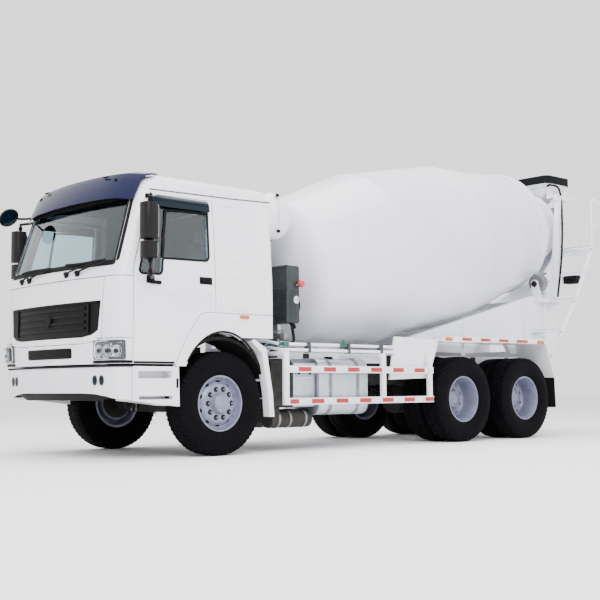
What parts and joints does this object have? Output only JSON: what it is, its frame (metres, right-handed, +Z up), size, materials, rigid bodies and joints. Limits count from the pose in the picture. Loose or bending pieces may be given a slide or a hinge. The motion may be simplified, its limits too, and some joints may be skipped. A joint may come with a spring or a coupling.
{
  "type": "concrete mixer truck",
  "caption": "Three-axle cab-over truck carrying an inclined rotating mixing drum with rear hopper, discharge collector and swinging chute",
  "frame": {"origin": "centre of the bounding box in plan, on the ground", "axes": "+X to the truck's left side, -Y forward (the cab faces -Y), +Z up"},
  "size_m": [2.89, 9.2737, 4.05],
  "materials": {
    "white_paint": "satin enamel",
    "drum_paint": "satin enamel",
    "navy": "gloss enamel",
    "black_plastic": "grained",
    "dark_steel": "chassis black",
    "tyre": "moulded rubber",
    "rim_paint": "silver enamel",
    "aluminium": "brushed",
    "cooler": "dull",
    "hopper_rubber": "dark rim",
    "glass": "tinted",
    "seat_cloth": "woven",
    "chrome_rod": "polished"
  },
  "bodies": {
    "chassis": {"chassis_frame": "dark_steel", "subframe": "white_paint", "front_axle": "dark_steel", "bogie": "dark_steel", "engine": "dark_steel", "front_bumper": "white_paint", "front_wing_left": "white_paint", "front_wing_right": "white_paint", "fuel_tank": "aluminium", "battery_box": "aluminium", "air_tanks": "dark_steel", "silencer": "aluminium", "side_guard_left": "white_paint", "side_guard_right": "white_paint", "mudguard_left": "white_paint", "mudguard_right": "white_paint", "drum_gearbox": "dark_steel", "water_tank": "white_paint", "oil_cooler": "cooler", "rear_frame": "white_paint", "hopper": "hopper_rubber", "discharge_collector": "white_paint", "ladder": "white_paint", "tail_bar": "dark_steel"},
    "steer_left": {"knuckle_left": "dark_steel"},
    "steer_right": {"knuckle_right": "dark_steel"},
    "front_wheel_left": {"rim_front_left": "rim_paint", "tyre_front_left": "tyre"},
    "front_wheel_right": {"rim_front_right": "rim_paint", "tyre_front_right": "tyre"},
    "wheel_mid_left": {"twin_wheel_mid_left": "tyre"},
    "wheel_mid_right": {"twin_wheel_mid_right": "tyre"},
    "wheel_rear_left": {"twin_wheel_rear_left": "tyre"},
    "wheel_rear_right": {"twin_wheel_rear_right": "tyre"},
    "track_rod": {"tie_rod": "dark_steel"},
    "mixing_drum": {"drum": "drum_paint"},
    "support_roller_left": {"roller_left": "dark_steel"},
    "support_roller_right": {"roller_right": "dark_steel"},
    "cab": {"cab_shell": "white_paint", "windscreen": "glass", "sun_visor": "navy", "dashboard": "black_plastic", "seat_left": "seat_cloth", "seat_right": "seat_cloth", "fender_left": "white_paint", "fender_right": "white_paint", "headlight_panel": "white_paint"},
    "lid": {"front_lid": "white_paint", "grille": "black_plastic"},
    "left_door": {"door_left": "white_paint", "door_glass_left": "glass", "mirror_left": "black_plastic"},
    "right_door": {"door_right": "white_paint", "door_glass_right": "glass", "mirror_right": "black_plastic"},
    "chute_turntable": {"chute_swivel": "dark_steel"},
    "discharge_chute": {"chute": "white_paint"},
    "jack_barrel": {"jack_tube": "dark_steel"},
    "jack_piston": {"jack_rod": "chrome_rod"}
  },
  "joints": [
    {"name": "steer_left", "type": "hinge", "parent": "chassis", "child": "steer_left", "pos_m": [0.85, -3.179, 0.5625], "axis": [0, 0, 1], "range_deg": [-36, 36]},
    {"name": "steer_right", "type": "hinge", "parent": "chassis", "child": "steer_right", "pos_m": [-0.85, -3.179, 0.5625], "axis": [0, 0, 1], "range_deg": [-36, 36]},
    {"name": "track_rod_slide", "type": "slide", "parent": "chassis", "child": "track_rod", "axis": [-1, 0, 0], "range_m": [-0.14, 0.14]},
    {"name": "spin_front_left", "type": "hinge", "parent": "steer_left", "child": "front_wheel_left", "pos_m": [1.011, -3.179, 0.5625], "axis": [1, 0, 0], "continuous": true},
    {"name": "spin_front_right", "type": "hinge", "parent": "steer_right", "child": "front_wheel_right", "pos_m": [-1.011, -3.179, 0.5625], "axis": [1, 0, 0], "continuous": true},
    {"name": "spin_mid_left", "type": "hinge", "parent": "chassis", "child": "wheel_mid_left", "pos_m": [1.09, 0.846, 0.5625], "axis": [1, 0, 0], "continuous": true},
    {"name": "spin_mid_right", "type": "hinge", "parent": "chassis", "child": "wheel_mid_right", "pos_m": [-1.09, 0.846, 0.5625], "axis": [1, 0, 0], "continuous": true},
    {"name": "spin_rear_left", "type": "hinge", "parent": "chassis", "child": "wheel_rear_left", "pos_m": [1.09, 2.196, 0.5625], "axis": [1, 0, 0], "continuous": true},
    {"name": "spin_rear_right", "type": "hinge", "parent": "chassis", "child": "wheel_rear_right", "pos_m": [-1.09, 2.196, 0.5625], "axis": [1, 0, 0], "continuous": true},
    {"name": "drum_spin", "type": "hinge", "parent": "chassis", "child": "mixing_drum", "pos_m": [0, -1.279, 2.209], "axis": [0, 0.9804, 0.1968], "continuous": true},
    {"name": "roller_spin_left", "type": "hinge", "parent": "chassis", "child": "support_roller_left", "pos_m": [0.6884, 3.3239, 2.2961], "axis": [0, 0.9804, 0.1968], "continuous": true},
    {"name": "roller_spin_right", "type": "hinge", "parent": "chassis", "child": "support_roller_right", "pos_m": [-0.6884, 3.3239, 2.2961], "axis": [0, 0.9804, 0.1968], "continuous": true},
    {"name": "cab_tilt", "type": "hinge", "parent": "chassis", "child": "cab", "pos_m": [0, -4.469, 0.75], "axis": [1, 0, 0], "range_deg": [0, 50]},
    {"name": "lid_open", "type": "hinge", "parent": "cab", "child": "lid", "pos_m": [0, -4.621, 1.868], "axis": [-1, 0, 0], "range_deg": [0, 75]},
    {"name": "door_left_open", "type": "hinge", "parent": "cab", "child": "left_door", "pos_m": [1.204, -4.344, 1.8], "axis": [0, 0, -1], "range_deg": [0, 65]},
    {"name": "door_right_open", "type": "hinge", "parent": "cab", "child": "right_door", "pos_m": [-1.204, -4.344, 1.8], "axis": [0, 0, 1], "range_deg": [0, 65]},
    {"name": "chute_swing", "type": "hinge", "parent": "chassis", "child": "chute_turntable", "pos_m": [0, 4.141, 1.72], "axis": [0, 0, -1], "range_deg": [0, 120]},
    {"name": "chute_raise", "type": "hinge", "parent": "chute_turntable", "child": "discharge_chute", "pos_m": [-0.0966, 4.1669, 2.08], "axis": [0.2588, 0.9659, 0], "range_deg": [-14, 14]},
    {"name": "jack_tilt", "type": "hinge", "parent": "chute_turntable", "child": "jack_barrel", "pos_m": [-0.1159, 4.1721, 1.75], "axis": [0.2588, 0.9659, 0], "range_deg": [-16, 16]},
    {"name": "jack_slide", "type": "slide", "parent": "jack_barrel", "child": "jack_piston", "axis": [-0.9478, 0.254, 0.1927], "range_m": [-0.095, 0.095]}
  ],
  "couplings": [
    {"joint": "steer_right", "follows": "steer_left", "ratio": 1},
    {"joint": "track_rod_slide", "follows": "steer_left", "m_per_rad": 0.205},
    {"joint": "roller_spin_left", "follows": "drum_spin", "ratio": -7.52},
    {"joint": "roller_spin_right", "follows": "drum_spin", "ratio": -7.52},
    {"joint": "jack_tilt", "follows": "chute_raise", "ratio": 0.932},
    {"joint": "jack_slide", "follows": "chute_raise", "m_per_rad": 0.3251}
  ]
}
